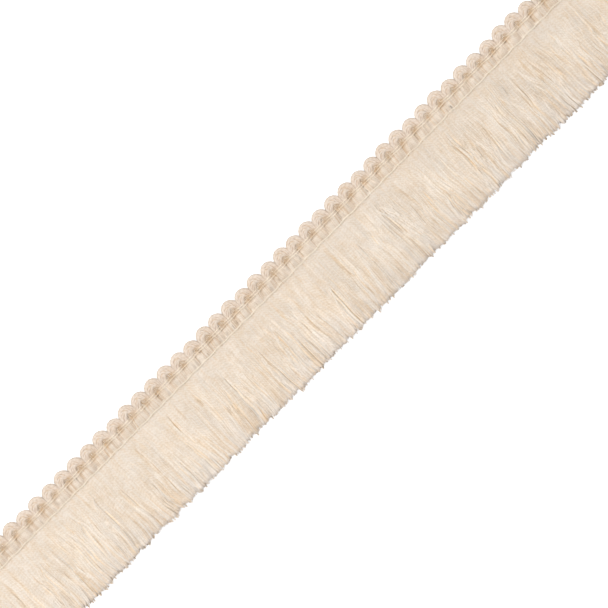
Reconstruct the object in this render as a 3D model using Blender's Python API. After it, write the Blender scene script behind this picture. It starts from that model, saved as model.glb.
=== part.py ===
"""Brush fringe: a cut length of cream cotton trimming, lying face up and flat.

X runs along the trim, +Y points to the scalloped edge and -Y to the cut edge, and Z is up from the
surface that the back of the trim lies on. The origin is on that surface, in the middle of the length
and of the width.

A soft cord lies in close loops along the heading. Its upper turns are the scallops. Its lower turns are
held between the root strip of the brush and the humped front of the heading, and thin binding threads
cross it above and below. The brush is two layers of locks that stand apart but for their roots.
"""
import math
import random

import bmesh
import bpy
from mathutils import Vector

MM = 0.001
TOUCH = 0.0001 * MM

# Sides of a round thread, as the bevel resolution that gives them
FOUR_SIDES = 0
SIX_SIDES = 1
EIGHT_SIDES = 2

# Whole trim
LENGTH = 400 * MM
WIDTH = 50 * MM
LOOP_PITCH = 8 * MM
LOOP_COUNT = round(LENGTH / LOOP_PITCH)
CLEAR = 0.3 * MM
END = LENGTH / 2
TOP_EDGE = WIDTH / 2
CUT_EDGE = -WIDTH / 2

# Root strip of the brush: a flat strip behind the cord, and a full-height root along its lower edge
STRIP_TOP = TOP_EDGE - 5.9 * MM
ROOT_TOP = TOP_EDGE - 11.4 * MM
ROOT_FOOT = TOP_EDGE - 12.6 * MM
STRIP_THICK = 0.8 * MM
ROOT_HEIGHT = 3.0 * MM

# Locks of the brush, in a lower and an upper layer
LOCKS_IN_LAYER = 130
LOCK_PITCH = LENGTH / LOCKS_IN_LAYER
ROOT_GAP = 0.35 * MM
TIP_GAP = 0.5 * MM
LOCK_CROWN = 0.1
UNEVEN_CUT = 0.9 * MM
UNEVEN_TOP = 0.35 * MM
SWAY_SEED = 7

# Sections of a lock from its root to the cut edge: the share of the way along, the bottom and the top
# of the layer there, and how much of the full sway has built up
LOWER_SECTIONS = (
    {"along": 0.0, "bottom": 0.0, "top": 1.35 * MM, "sway": 0.0},
    {"along": 0.55, "bottom": 0.0, "top": 1.4 * MM, "sway": 0.45},
    {"along": 1.0, "bottom": 0.0, "top": 1.6 * MM, "sway": 1.0},
)
UPPER_SECTIONS = (
    {"along": 0.0, "bottom": 1.7 * MM, "top": ROOT_HEIGHT, "sway": 0.0},
    {"along": 0.3, "bottom": 1.75 * MM, "top": 3.1 * MM, "sway": 0.2},
    {"along": 0.7, "bottom": 1.85 * MM, "top": 3.05 * MM, "sway": 0.65},
    {"along": 1.0, "bottom": 1.95 * MM, "top": 3.35 * MM, "sway": 1.0},
)

# Slow sideways waves in the brush: length of each wave, and its reach at the cut edge
SWAY_WAVES = (
    {"length": 83 * MM, "reach": 1.6 * MM},
    {"length": 37 * MM, "reach": 0.7 * MM},
    {"length": 17 * MM, "reach": 0.35 * MM},
)

# Scalloped cord: six-sided, so it is a little lower than it is wide
TURN_RADIUS = LOOP_PITCH / 4
FULL_CORD = TURN_RADIUS - 0.55 * CLEAR
PRESSED_CORD = 1.0 * MM
FLAT_SHARE = math.cos(math.pi / 6)
LOOP_Z = 2.0 * MM
LOOP_TILT = 0.3 * MM
LOOP_STEPS = 5
LOOP_REACH = (TURN_RADIUS + FULL_CORD) * math.cos(math.pi / 2 / LOOP_STEPS)
LOOP_TURN_Y = TOP_EDGE - LOOP_REACH
LOOP_DROP = 0.7 * MM

# The cord's held turns, between the scallops
WAIST_Y = TOP_EDGE - 5.7 * MM
HELD_TURN_RADIUS = 1.7 * MM
HELD_TURN_Y = TOP_EDGE - 8.3 * MM
HELD_STEPS = 3
HELD_Z = STRIP_THICK + CLEAR + PRESSED_CORD * FLAT_SHARE
HELD_TOP = HELD_Z + PRESSED_CORD * FLAT_SHARE
CORD_END_Y = HELD_TURN_Y - HELD_TURN_RADIUS

# Humped front of the heading
FRONT_FOOT = TOP_EDGE - 10.9 * MM
FRONT_TOP = TOP_EDGE - 7.5 * MM
FRONT_THICK = 0.7 * MM
HUMP_SINK = 0.7 * MM
HUMP_SOFT = 0.15 * MM

# One hump from the groove on its left: the share of its width, and the share of its full height
HUMP_PROFILE = (
    {"across": 0.0, "height": 0.0},
    {"across": 0.18, "height": 0.9},
    {"across": 0.5, "height": 1.0},
    {"across": 0.82, "height": 0.9},
)

# Binding threads
BINDING_RADIUS = 0.3 * MM
UPPER_BINDING_Y = (TOP_EDGE - 6.9 * MM, TOP_EDGE - 6.0 * MM)
LOWER_BINDING_Y = TOP_EDGE - 11.65 * MM
LOWER_BINDING_SWING = 0.12 * MM
BINDING_END = END - CLEAR

# Yarns: colour and roughness
BRUSH_YARN = {"name": "brush_yarn", "colour": (0.86, 0.73, 0.6, 1.0), "roughness": 0.85}
CORD_YARN = {"name": "cord_yarn", "colour": (0.84, 0.7, 0.57, 1.0), "roughness": 0.8}
FRONT_YARN = {"name": "front_yarn", "colour": (0.82, 0.68, 0.55, 1.0), "roughness": 0.85}
BINDING_THREAD = {"name": "binding_thread", "colour": (0.88, 0.76, 0.62, 1.0), "roughness": 0.7}


def clear_scene():
    """Remove whatever the new file starts with."""
    for scene_object in list(bpy.data.objects):
        bpy.data.objects.remove(scene_object, do_unlink=True)


def make_collection(name):
    """Add a collection for the trim's pieces."""
    collection = bpy.data.collections.new(name)
    bpy.context.scene.collection.children.link(collection)
    return collection


def yarn_material(yarn):
    """A plain matt yarn."""
    material = bpy.data.materials.new(yarn["name"])
    material.use_nodes = True
    shader = material.node_tree.nodes["Principled BSDF"]
    shader.inputs["Base Color"].default_value = yarn["colour"]
    shader.inputs["Roughness"].default_value = yarn["roughness"]
    shader.inputs["Metallic"].default_value = 0.0
    material.diffuse_color = yarn["colour"]
    return material


def add_mesh_object(bm, name, collection, material):
    """Turn a finished bmesh into a named object."""
    bmesh.ops.recalc_face_normals(bm, faces=bm.faces)
    mesh = bpy.data.meshes.new(name)
    bm.to_mesh(mesh)
    bm.free()
    mesh.materials.append(material)
    piece = bpy.data.objects.new(name, mesh)
    collection.objects.link(piece)
    return piece


def add_thread(name, points, radii, collection, material, sides):
    """A thread or cord: a curve through the points, with its own radius at each point."""
    curve = bpy.data.curves.new(name, "CURVE")
    curve.dimensions = "3D"
    curve.twist_mode = "Z_UP"
    curve.bevel_depth = MM
    curve.bevel_resolution = sides
    curve.use_fill_caps = True
    curve.resolution_u = 1
    spline = curve.splines.new("POLY")
    spline.points.add(len(points) - 1)
    for point, place, radius in zip(spline.points, points, radii):
        point.co = (*place, 1.0)
        point.radius = radius / MM
    curve.materials.append(material)
    piece = bpy.data.objects.new(name, curve)
    collection.objects.link(piece)
    return piece


def loft(sections):
    """Draw one closed section after another from the first, and return the closed bmesh."""
    bm = bmesh.new()
    ring = [bm.verts.new(place) for place in sections[0]]
    face = bm.faces.new(ring)
    for section in sections[1:]:
        grown = bmesh.ops.extrude_face_region(bm, geom=[face])["geom"]
        new_face = next(item for item in grown if isinstance(item, bmesh.types.BMFace))
        bm.faces.remove(face)
        for vert, place in zip(new_face.verts, section):
            vert.co = place
        face = new_face
    bmesh.ops.holes_fill(bm, edges=[edge for edge in bm.edges if edge.is_boundary])
    return bm


def sway_at(x, phases):
    """Sideways drift of the brush at the cut edge, fading out at the two ends of the trim."""
    drift = 0.0
    for wave, phase in zip(SWAY_WAVES, phases):
        drift += wave["reach"] * math.sin(2 * math.pi * x / wave["length"] + phase)
    fade_length = SWAY_WAVES[0]["length"] / 3
    fade = min(1.0, (END - abs(x)) / fade_length)
    return drift * fade


def lock_edges(layer_shift):
    """Left and right edges of each lock's share of the root line. A shifted layer has one lock less."""
    count = int(LOCKS_IN_LAYER - layer_shift)
    lefts = [-END + (index + layer_shift) * LOCK_PITCH for index in range(count)]
    return [(left, left + LOCK_PITCH) for left in lefts]


def cut_lengths(count, rng):
    """How far each lock stops short of the cut edge, with the longest one reaching it."""
    short = [rng.random() * UNEVEN_CUT for _ in range(count)]
    longest = min(short)
    return [value - longest for value in short]


def split_face(bm, faces, along, positions):
    """Bisect the faces at each position along an axis, and return all the faces that result."""
    pieces = list(faces)
    normal = Vector((1, 0, 0)) if along == 0 else Vector((0, 0, 1))
    for position in positions:
        place = normal * position
        touched = [face for face in pieces if crosses(face, along, position)]
        geometry = touched + edges_and_verts(touched)
        cut = bmesh.ops.bisect_plane(bm, geom=geometry, dist=TOUCH, plane_co=place, plane_no=normal)
        new_faces = [item for item in cut["geom"] if isinstance(item, bmesh.types.BMFace)]
        kept = [face for face in pieces if face not in touched]
        pieces = kept + new_faces
    return pieces


def crosses(face, along, position):
    """Whether a plane across the axis passes through the face."""
    values = [vert.co[along] for vert in face.verts]
    return min(values) < position - TOUCH and max(values) > position + TOUCH


def edges_and_verts(faces):
    """Every edge and point of the faces, once each."""
    edges = {edge for face in faces for edge in face.edges}
    verts = {vert for face in faces for vert in face.verts}
    return sorted(edges, key=lambda edge: edge.index) + sorted(verts, key=lambda vert: vert.index)


def root_strip():
    """The strip behind the cord, with the thicker root along its foot, as one extruded section."""
    profile = (
        (ROOT_FOOT, 0.0),
        (STRIP_TOP, 0.0),
        (STRIP_TOP, STRIP_THICK),
        (ROOT_TOP, STRIP_THICK),
        (ROOT_TOP, ROOT_HEIGHT),
        (ROOT_FOOT, ROOT_HEIGHT),
    )
    return loft([[(x, y, z) for y, z in profile] for x in (-END, END)])


def cell_edges(edges):
    """Where the root's front is cut so that each lock has a cell, with a gap on both sides."""
    cuts = []
    for left, right in edges:
        cuts.append(left + ROOT_GAP / 2)
        cuts.append(right - ROOT_GAP / 2)
    return cuts


def grow_locks(bm, cells, edges, sections, phases, rng):
    """Extrude each cell of the root from section to section, down to the cut edge."""
    faces = sorted(cells, key=lambda face: face.calc_center_median().x)
    shortfall = cut_lengths(len(faces), rng)
    lifts = [rng.random() * UNEVEN_TOP for _ in faces]
    for section in sections[1:]:
        faces = [bmesh.ops.extrude_discrete_faces(bm, faces=[face])["faces"][0] for face in faces]
        for face, edge_pair, short, lift in zip(faces, edges, shortfall, lifts):
            top = section["top"] + (lift * section["along"] if sections is UPPER_SECTIONS else 0.0)
            place_section(face, edge_pair, section, top, phases, short)


def place_section(face, edge_pair, section, top, phases, short):
    """Move the four corners of a lock's end face to where the lock is at that section."""
    left, right = edge_pair
    along = section["along"]
    y = ROOT_FOOT + (CUT_EDGE + short - ROOT_FOOT) * along
    half_gap = (ROOT_GAP + (TIP_GAP - ROOT_GAP) * along) / 2
    new_left = left + sway_at(left, phases) * section["sway"] + half_gap
    new_right = right + sway_at(right, phases) * section["sway"] - half_gap
    crown = (new_right - new_left) * LOCK_CROWN
    centre = face.calc_center_median()
    for vert in face.verts:
        is_top = vert.co.z > centre.z
        inset = crown if is_top else 0.0
        x = new_left + inset if vert.co.x < centre.x else new_right - inset
        vert.co = (x, y, top if is_top else section["bottom"])


def cells_of_locks(faces, edges):
    """The face in the middle of each lock's share of the root line."""
    found = []
    for left, right in edges:
        middle = (left + right) / 2
        nearest = min(faces, key=lambda face: abs(face.calc_center_bounds().x - middle))
        found.append(nearest)
    return found


def make_brush(collection, material):
    """The root strip with its two layers of locks, as one body."""
    rng = random.Random(SWAY_SEED)
    phases = [rng.uniform(0, 2 * math.pi) for _ in SWAY_WAVES]
    bm = root_strip()
    bmesh.ops.recalc_face_normals(bm, faces=bm.faces)
    front = [min(bm.faces, key=lambda face: face.calc_center_bounds().y)]
    rows = split_face(bm, front, 2, (LOWER_SECTIONS[0]["top"], UPPER_SECTIONS[0]["bottom"]))
    for sections, layer_shift in ((LOWER_SECTIONS, 0.0), (UPPER_SECTIONS, 0.5)):
        low, high = sections[0]["bottom"], sections[0]["top"]
        row = [face for face in rows if low < face.calc_center_bounds().z < high]
        edges = lock_edges(layer_shift)
        cells = cells_of_locks(split_face(bm, row, 0, cell_edges(edges)), edges)
        grow_locks(bm, cells, edges, sections, phases, rng)
    return add_mesh_object(bm, "brush_skirt", collection, material)


def turn_points(centre, radius, start_angle, sweep, steps):
    """Places round a turn of the cord, both ends of the turn included."""
    places = []
    for step in range(steps + 1):
        angle = start_angle + sweep * step / steps
        places.append((angle, centre[0] + radius * math.cos(angle), centre[1] + radius * math.sin(angle)))
    return places


def cord_route(rng):
    """Points and radii of the scalloped cord, from its left end to its right end."""
    half = LOOP_PITCH / 2
    points = [(-END + HELD_TURN_RADIUS, CORD_END_Y, HELD_Z)]
    radii = [PRESSED_CORD]
    drops = [rng.random() * LOOP_DROP for _ in range(LOOP_COUNT)]
    tallest = min(drops)
    for index in range(LOOP_COUNT):
        centre_x = -END + (index + 0.5) * LOOP_PITCH
        centre_y = LOOP_TURN_Y - (drops[index] - tallest)
        points.append((centre_x - half + HELD_TURN_RADIUS, WAIST_Y, HELD_Z))
        radii.append(PRESSED_CORD)
        for angle, x, y in turn_points((centre_x, centre_y), TURN_RADIUS, math.pi, -math.pi, LOOP_STEPS):
            points.append((x, y, LOOP_Z - LOOP_TILT * math.cos(angle)))
            radii.append(FULL_CORD)
        points.append((centre_x + half - HELD_TURN_RADIUS, WAIST_Y, HELD_Z))
        radii.append(PRESSED_CORD)
        if index < LOOP_COUNT - 1:
            held_centre = (centre_x + half, HELD_TURN_Y)
            held = turn_points(held_centre, HELD_TURN_RADIUS, math.pi, math.pi, HELD_STEPS)
            points.extend((x, y, HELD_Z) for angle, x, y in held[1:-1])
            radii.extend([PRESSED_CORD] * (HELD_STEPS - 1))
    points.append((END - HELD_TURN_RADIUS, CORD_END_Y, HELD_Z))
    radii.append(PRESSED_CORD)
    return points, radii


def make_cord(collection, material):
    """The soft cord in close loops."""
    points, radii = cord_route(random.Random(SWAY_SEED + 1))
    return add_thread("scallop_cord", points, radii, collection, material, SIX_SIDES)


def make_front(collection, material):
    """The threads over the held turns: a thin strip with one low hump over each turn."""
    high_bottom = HELD_TOP + CLEAR + HUMP_SOFT
    middle_y = (FRONT_FOOT + FRONT_TOP) / 2
    sections = []
    for index in range(LOOP_COUNT + 1):
        for row in HUMP_PROFILE:
            x = -END + (index - 0.5 + row["across"]) * LOOP_PITCH
            bottom = high_bottom - HUMP_SINK * (1 - row["height"])
            if abs(x) < END + TOUCH:
                sections.append(front_section(x, bottom, middle_y))
    return add_mesh_object(loft(sections), "heading_front", collection, material)


def front_section(x, bottom, middle_y):
    """Section of the humped strip across the trim, a little fuller in its middle."""
    edge_top = bottom + FRONT_THICK - HUMP_SOFT
    return (
        (x, FRONT_FOOT, bottom),
        (x, FRONT_TOP, bottom),
        (x, FRONT_TOP, edge_top),
        (x, middle_y, bottom + FRONT_THICK),
        (x, FRONT_FOOT, edge_top),
    )


def make_upper_bindings(collection, material):
    """The two straight threads that cross the legs of the cord."""
    z = HELD_TOP + CLEAR + BINDING_RADIUS
    for number, y in enumerate(UPPER_BINDING_Y, start=1):
        points = [(-BINDING_END, y, z), (BINDING_END, y, z)]
        radii = [BINDING_RADIUS] * len(points)
        add_thread(f"upper_binding_{number}", points, radii, collection, material, EIGHT_SIDES)


def make_lower_binding(collection, material):
    """The thread along the foot of the heading, drawn a little towards each hump."""
    z = ROOT_HEIGHT + CLEAR + BINDING_RADIUS
    points = []
    for half in range(2 * LOOP_COUNT + 1):
        x = -END + half * LOOP_PITCH / 2
        swing = LOWER_BINDING_SWING if half % 2 else -LOWER_BINDING_SWING
        points.append((max(-BINDING_END, min(BINDING_END, x)), LOWER_BINDING_Y + swing, z))
    radii = [BINDING_RADIUS] * len(points)
    return add_thread("lower_binding", points, radii, collection, material, FOUR_SIDES)


def main():
    clear_scene()
    collection = make_collection("brush_fringe")
    make_brush(collection, yarn_material(BRUSH_YARN))
    make_cord(collection, yarn_material(CORD_YARN))
    make_front(collection, yarn_material(FRONT_YARN))
    make_upper_bindings(collection, yarn_material(BINDING_THREAD))
    make_lower_binding(collection, yarn_material(BINDING_THREAD))


main()
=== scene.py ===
"""Brush fringe, dressed: a cut length of cream cotton trimming that lies face up on a pale floor.

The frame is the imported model, in metres. X runs along the trim, +Y points to the scallops and -Y to the
cut edge of the brush, and Z is up from the floor. Every yarn is a thread of its own: a straight thread
is modelled once, repeated, and each copy is then laid along its line.
"""
import math
import random
from collections import namedtuple

import bpy
import numpy as np
from bpy.props import FloatProperty, FloatVectorProperty, IntProperty, PointerProperty
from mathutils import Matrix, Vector


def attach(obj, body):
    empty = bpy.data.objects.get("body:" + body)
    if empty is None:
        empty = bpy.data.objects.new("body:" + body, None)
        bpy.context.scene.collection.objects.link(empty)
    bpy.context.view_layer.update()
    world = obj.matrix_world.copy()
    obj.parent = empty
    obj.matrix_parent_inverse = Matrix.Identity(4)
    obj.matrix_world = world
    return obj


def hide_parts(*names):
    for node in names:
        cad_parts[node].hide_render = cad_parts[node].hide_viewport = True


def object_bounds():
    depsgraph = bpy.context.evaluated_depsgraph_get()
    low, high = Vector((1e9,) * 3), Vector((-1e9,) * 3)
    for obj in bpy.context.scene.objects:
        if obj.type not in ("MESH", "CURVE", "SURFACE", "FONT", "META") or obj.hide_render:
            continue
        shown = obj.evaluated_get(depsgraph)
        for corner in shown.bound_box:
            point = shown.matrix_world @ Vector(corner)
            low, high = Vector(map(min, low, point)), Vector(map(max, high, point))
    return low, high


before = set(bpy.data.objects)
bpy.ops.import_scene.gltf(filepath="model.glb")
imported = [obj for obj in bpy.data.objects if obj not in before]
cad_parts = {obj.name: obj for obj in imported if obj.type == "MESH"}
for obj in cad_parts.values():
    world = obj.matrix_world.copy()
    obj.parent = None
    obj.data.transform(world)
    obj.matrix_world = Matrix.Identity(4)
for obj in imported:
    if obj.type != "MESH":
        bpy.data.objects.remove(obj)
CAD_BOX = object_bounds()

bl_info = {
    "name": "Brush fringe",
    "version": (1, 0, 0),
    "blender": (4, 5, 0),
    "location": "3D View > Sidebar > Fringe",
    "description": "Lays the yarns of a cream cotton brush fringe over its packed model",
    "category": "Object",
}

MM = 0.001
TURN = 2 * math.pi
END = CAD_BOX[1].x
TOP_EDGE = CAD_BOX[1].y
CUT_EDGE = CAD_BOX[0].y
UP = np.array((0.0, 0.0, 1.0))
ALONG_TRIM = np.array((1.0, 0.0, 0.0))

# Middle of the outermost yarns, and how far their bends may reach past the trim's cut ends
LAST_YARN = END - 0.3 * MM
PAST_END = 0.2 * MM
FRONT_PAST_END = 0.1 * MM

# Repeat of the heading
LOOP_PITCH = 8 * MM
LOOP_COUNT = round(2 * END / LOOP_PITCH)

# Straight threads, in their own units: how near the points of two rings have to be to merge, and how far
# apart the copies lie before they are laid
MERGE_WITHIN = 0.01
COPY_SPACING = 3.0

# Brush: the line where the threads leave the heading, and the one under it where they start
ROOT_Y = TOP_EDGE - 12.1 * MM
START_Y = ROOT_Y + 1.6 * MM

# Layers of the brush from the floor up: threads in a row, rows, segments of a thread, its radius as a share
# of a full one's, heights of the lowest and the highest row in millimetres, seed, tone, and how much of the
# pull of clumps and partings it follows
Layer = namedtuple("Layer", "name threads rows segments thick low high seed tone parting")
BRUSH_LAYERS = (
    Layer("brush_under", 560, 3, 8, 1.0, 0.38, 1.2, 31, 0.3, 0.2),
    Layer("brush_middle", 560, 3, 12, 1.0, 1.75, 2.5, 32, 0.2, 0.3),
    Layer("brush_face", 840, 2, 18, 0.8, 2.64, 2.86, 33, 0.35, 1.0),
)

# Sides of most threads, and of the warps and bindings
THREAD_SIDES = 3
FINE_SIDES = 4

# Share of the way down a brush thread of its first rings, close together where it leaves the heading, and of
# the first of the even ones
ROOT_SHARES = (0.0, 0.02, 0.045)
EVEN_FROM = 0.09

# Scatter of the threads at their roots as a share of their spacing, the share of their length over which the
# heading still holds them, and the length over which they straighten towards the trim's cut ends
ROOT_SCATTER = 0.06
HELD_SHARE = 0.3
END_FADE = 6 * MM

# Slow sideways waves in the brush, as in the solids: length of each wave and its reach at the cut edge, the
# length over which they fade at the trim's ends, and how they grow down the threads
SWAY_SEED = 7
SWAY_WAVES = ((83 * MM, 1.6 * MM), (37 * MM, 0.7 * MM), (17 * MM, 0.35 * MM))
SWAY_FADE = 83 * MM / 3
SWAY_GROWTH = 1.3

# Waves of each thread: shortest and longest as a share of its length, and how far it strays sideways, or
# upwards in millimetres. The upward ones are weaker at the root.
THREAD_WAVES = ((0.12, 0.25, 0.045 * MM), (0.25, 0.5, 0.05 * MM), (0.5, 1.0, 0.03 * MM))
RIPPLES = ((0.12, 0.24, 0.03), (0.25, 0.6, 0.03))
RIPPLE_AT_ROOT = 0.3

# Stray threads: their share, their lean, where they set out, and how soon they get there
STRAYS = 0.05
STRAY_LEAN = 1.8 * MM
STRAY_FROM = (0.05, 0.6)
STRAY_RUN = 0.45

# Wander that neighbouring threads share: length of its waves along the trim, length down the threads as a
# share of theirs, and reach as a share of the first length, with its range
DRIFT_SEED = 12
DRIFT_WAVES = 16
DRIFT_ACROSS = (6 * MM, 45 * MM)
DRIFT_DOWN = (0.3, 1.3)
DRIFT_SHARE = 0.007
DRIFT_REACHES = (0.3, 1.0)

# Clumps and the small tufts at the cut edge, in millimetres and shares of a thread: their width, the scatter
# of threads between them, their lean, how far they gather, where the gather sets in, how far it opens again,
# how much lower their edges are, and the steps in height between them. Then the share over which the gather
# sets in, where it opens again, and until where the lean grows.
CLUMPS = {"width": (3.0, 9.0), "scatter": 0.12, "lean": 0.15, "gather": (0.0, 0.04), "onset": (0.1, 0.5)}
CLUMPS |= {"closing": 0.9, "crown": 0.035, "step": 0.035}
TUFTS = {"width": (1.1, 2.4), "scatter": 0.08, "lean": 0.08, "gather": (0.0, 0.06), "onset": (0.55, 0.8)}
TUFTS |= {"closing": 0.0, "crown": 0.02, "step": 0.03}
GATHER_RUN = 0.35
OPENS_FROM = 0.7
LEAN_UNTIL = 1.3

# Short partings in the face of the brush: how many, their place and half-length as shares of a thread's
# length, their slant, how far they push the threads aside, how sharply and how far to both sides, and how
# deep and how wide the painted shade in them is
PARTING_SEED = 9
PARTING_COUNT = 95
PARTING_PLACE = (0.2, 0.95)
PARTING_HALF_LENGTH = (0.05, 0.13)
PARTING_SLANT = 3.0 * MM
PARTING_PUSH = (0.1 * MM, 0.25 * MM)
PARTING_EDGE = 0.12 * MM
PARTING_REACH = 0.9 * MM
PARTING_PAINTED_SHADE = 0.9
PARTING_PAINTED_SHADE_REACH = 0.38 * MM

# Locks of the face that sweep across their neighbours: how many, their half-width, how far they lean over the
# whole length of a thread, where and how soon they set out, where they straighten, what share of the threads
# joins in, and how far they lie above the rest
SWEEP_SEED = 21
SWEEP_COUNT = 46
SWEEP_HALF_WIDTH = (0.7 * MM, 2.2 * MM)
SWEEP_LEAN = (4 * MM, 13 * MM)
SWEEP_FROM = (0.1, 0.6)
SWEEP_RUN = 0.2
SWEEP_BEND = 0.25
SWEEP_JOINING = 0.45
SWEEP_LIFT = 0.12

# Uneven cut: a slow wave, steps from tuft to tuft, mostly small, with their widths in millimetres, a little
# from thread to thread, and how far it all lies past the solids' cut edge
CUT_SEED = 5
CUT_WAVE = 0.3 * MM
CUT_WAVE_LENGTH = 61 * MM
CUT_WAVE_START = 1.3
CUT_TUFTS = 400
CUT_TUFT = 1.3 * MM
CUT_TUFT_BIAS = 1.5
CUT_TUFT_WIDTH = (0.6, 3.2)
CUT_THREAD = 0.9 * MM
CUT_REACH = 0.5 * MM

# Threads cut short, and threads that the shears missed: their share, by how many millimetres, and which way
ODD_CUTS = ((0.14, 0.4, 4.5, 1), (0.12, 0.2, 1.5, -1))

# Height of the brush in millimetres, and its swell at the face: where it starts, and each rise or fall with
# the shares of a thread's length between which it comes
FACE_HEIGHT = 3.0
SWELL_START = -0.15
SWELLS = ((0.4, 0.015, 0.14), (-0.42, 0.1, 0.7), (0.22, 0.7, 1.0))

# Most that a tip droops and where it starts to, the lowest that a thread may hang under its layer, and its
# least height over the floor
DROOP = 0.5
DROOP_FROM = 0.88
HANG = 0.25
LEAST_HEIGHT = 0.38 * MM

# Tone from thread to thread, clump to clump and along each thread, and from pair to pair near the cut edge
THREAD_TONE = 0.1
CLUMP_TONE = 0.05
ALONG_TONE = 0.17
PAIR_TONE = 0.5
PAIR_SHARES = (0.55, 0.9)

# Thickness from thread to thread, and its waves along each one
THREAD_THICKNESS = (0.92, 1.08)
THICKER_ALONG = 0.06
THICK_WAVES = 9

# Loose fibres over the brush: slant and curl in radians, length, radius and its range, height over the swell
# and its range in millimetres, and sag at their ends
FUZZ_SEED = 41
FUZZ_COUNT = 2600
FUZZ_RINGS = 4
FUZZ_FROM_END = 2 * MM
FUZZ_FROM_CUT = 1.5 * MM
FUZZ_BAND = ROOT_Y - CUT_EDGE - 4 * MM
FUZZ_LENGTH = (2.5 * MM, 7 * MM)
FUZZ_SLANT = 0.25
FUZZ_CURL = 0.45
FUZZ_RADIUS = 0.07 * MM
FUZZ_RADII = (0.7, 1.3)
FUZZ_Z = 3.02 * MM
FUZZ_HEIGHTS = (-0.1, 0.12)
FUZZ_SAG = 0.25 * MM
FUZZ_SHADES = (0.0, 0.6)

# Slack strands that lie slanted over the face, in small groups, with slant and curl in radians and the
# stagger of their ends in millimetres
WISP_SEED = 43
WISP_GROUPS = 12
WISP_STRANDS = (2, 5)
WISP_FROM_END = 12 * MM
WISP_FROM_EDGE = 10 * MM
WISP_SLANT = (0.15, 0.45)
WISP_SCATTER = 0.05
WISP_CURL = 0.15
WISP_LENGTH = (8 * MM, 17 * MM)
WISP_SPACING = 0.5 * MM
WISP_STAGGER = 1.5
WISP_SINK = 0.18 * MM
WISP_SAG = 0.45 * MM
WISP_RADIUS = 0.24 * MM
WISP_RADII = (0.8, 1.2)

# Scalloped cord: its loops, with their range of width, skew in millimetres and fatness, and their drop
CORD_SEED = SWAY_SEED + 1
TURN_RADIUS = 2.25 * MM
LOOP_TURN_Y = TOP_EDGE - 4.5 * MM
LOOP_WIDTHS = (0.95, 1.04)
LOOP_SKEW = 0.12
LOOP_FATNESS = (0.95, 1.03)
LOOP_HEIGHT = 1.2
LOOP_FOOT = 0.22
LOOP_DROP = 0.75 * MM
LOOP_Z = 2.15 * MM
LOOP_TILT = 0.3 * MM
LOOP_POINTS = 11

# Its fullness, from 0 where it is pressed to 1: at the foot of a loop, how much more at its top, and at its
# waists on the way in and out, with its radii at 1 and at 0, how flat and how square it is, and its waists
FOOT_FULLNESS = 0.55
TOP_FULLNESS = 0.45
TOP_SPREAD = 0.8
WAIST_FULLNESS = (0.3, 0.15)
FULL_CORD = 2.4 * MM
PRESSED_CORD = 1.0 * MM
CORD_FLATNESS = 0.75
CORD_SQUARENESS = 0.42
WAIST_Y = TOP_EDGE - 5.75 * MM
WAIST_REACH = 3.2 * MM
WAIST_TILT = 0.1 * MM

# Its held turns inside the heading, and how far its cut ends reach on from the outermost of them
HELD_TURN_RADIUS = 1.4 * MM
HELD_TURN_Y = TOP_EDGE - 8.3 * MM
HELD_Z = 1.97 * MM
HELD_POINTS = 6
CUT_CORD_REACH = 0.9 * MM

# Eyes of the loops: their top, how far each lies to the right of its loop's middle, how far the loop leans
# away from it as a share of that shift, and how much fullness its right leg gives up to its left one for
# each metre of shift
EYE_TOP_Y = TOP_EDGE - 4.95 * MM
EYE_SHIFT = (-0.1 * MM, 1.1 * MM)
LOOP_LEAN = 0.4
FULLER_LEG = 120.0

# Painted shade in the eyes, and lower front threads there
EYE_REACH = 2.3 * MM
EYE_PAINTED_SHADE = 1.15
EYE_PAINTED_SHADE_RUN = 1.5 * MM
EYE_HALF_WIDTH = 1.9 * MM
EYE_SINK = 0.65 * MM
EYE_SINK_FROM = (16.6, 17.9)

# Yarns of the cord: their number, twist and rings, how its corners are rounded, how much thinner the yarns
# are where it is pressed, how far they stray, and how many rings later their thickness follows. Then the
# core that fills it, the tone of the yarns and the painted shade of the core, the sides of both, and the room
# that neighbouring loops leave it.
CORD_YARNS = 14
CORD_TWIST = 30 * MM
RINGS_IN_LOOP = 24
RINGS_IN_KNOT = 6
FINE_STEPS = 4
CORNER_WINDOW = 11
PRESSED_YARN = 0.72
FULLER_YARN = 0.28
YARN_STRAY = 0.1
YARN_LIFT = 0.06 * MM
THICKER_LATER = 9
CORE_ROOM = 1.25
CORD_SHADE_SEED = 71
CORD_SHADES = (0.0, 0.45)
CORE_PAINTED_SHADE = 0.9
CORD_SIDES = 5
CORE_SIDES = 6
PRESSED_ROOM = 0.3
PRESSED_ABOVE_Y = WAIST_Y - 0.3 * MM

# Front of the heading: spacing and radius of its threads, grooves between its humps, and tone, with painted
# shade in the grooves and on the lower row
FRONT_SEED = 51
FRONT_PITCH = 0.42 * MM
FRONT_RADIUS = 0.3 * MM
FRONT_RADII = (0.85, 1.15)
FRONT_SCATTER = 0.2
HUMP_SINK = 1.2 * MM
HUMP_BREADTH = 2.6
FRONT_ROW_DROP = 0.4 * MM
GROOVE_SHIFT = 1.2 * MM
FRONT_TONE = 0.15
FRONT_THREAD_TONE = 0.45
FRONT_LOWER_ROW_PAINTED_SHADE = 0.3
FRONT_GROOVE_PAINTED_SHADE = 0.6

# Rings of a front thread in millimetres: place across the trim, height, and share in the hump
FRONT_RINGS = (
    (12.55, 2.75, 0.0),
    (13.2, 3.0, 0.0),
    (13.85, 3.2, 0.45),
    (14.5, 3.56, 0.9),
    (15.6, 3.68, 1.0),
    (16.7, 3.62, 1.0),
    (17.45, 3.35, 0.9),
    (17.9, 2.95, 0.3),
    (18.9, 2.9, 0.1),
    (19.35, 2.3, 0.0),
)

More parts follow.
